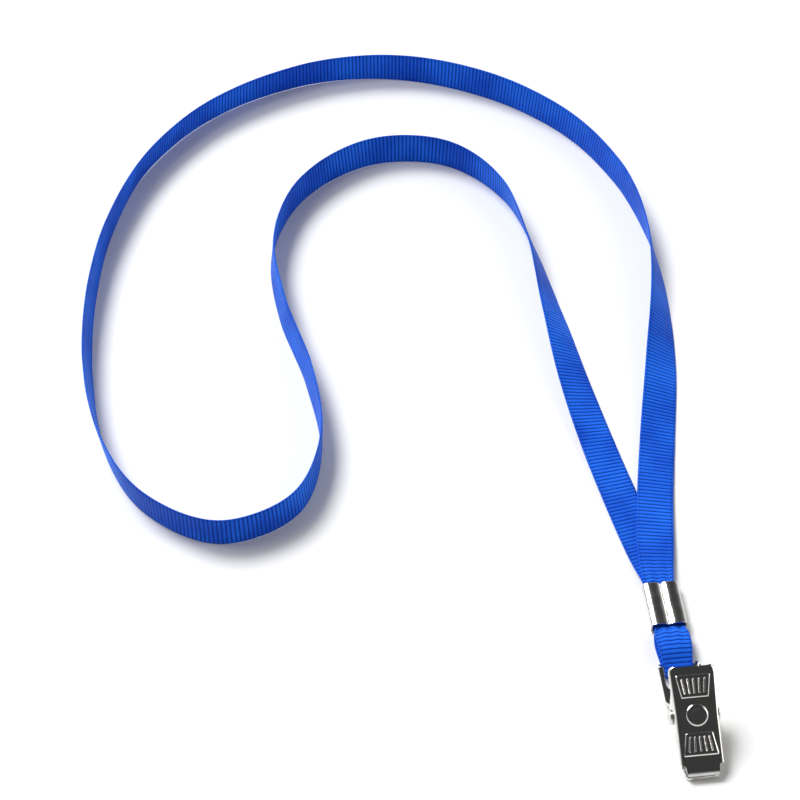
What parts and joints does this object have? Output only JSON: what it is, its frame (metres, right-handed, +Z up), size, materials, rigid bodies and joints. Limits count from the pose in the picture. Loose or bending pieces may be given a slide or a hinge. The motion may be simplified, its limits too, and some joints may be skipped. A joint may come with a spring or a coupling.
{
  "type": "neck lanyard with badge clip",
  "caption": "Flat ribbon neck loop gathered in a folded metal crimp, with a sprung bulldog clip that swings on a short ribbon loop.",
  "frame": {"origin": "on the table under the middle of the clip, its short ribbon loop and the crimp", "axes": "+Y from the clip's nose towards the crimp and the neck strap, +Z up, +X across the clip"},
  "size_m": [0.1757, 0.2714, 0.0155],
  "materials": {
    "ribbon": "royal blue polyester grosgrain, satin sheen",
    "nickel": "bright nickel plate on stamped steel sheet",
    "rivet_steel": "bright nickel plate",
    "spring_steel": "drawn wire with a warm tone"
  },
  "bodies": {
    "strap": {"neck_strap": "ribbon", "clip_loop": "ribbon", "crimp_sleeve": "nickel"},
    "clip": {"long_lever": "nickel", "pivot_rivet": "rivet_steel", "torsion_spring": "spring_steel"},
    "jaw": {"short_lever": "nickel"}
  },
  "joints": [
    {"name": "clip_swing", "type": "hinge", "parent": "strap", "child": "clip", "pos_m": [0, 0.00288, 0.00125], "axis": [-1, 0, 0], "range_deg": [0, 60], "deforming": ["clip_loop"]},
    {"name": "jaw_hinge", "type": "hinge", "parent": "clip", "child": "jaw", "pos_m": [0, -0.01347, 0.00604], "axis": [-1, 0, 0], "range_deg": [0, 28], "stiffness_Nm_per_rad": 0.06, "springref_deg": -57.3, "deforming": ["torsion_spring"]}
  ]
}
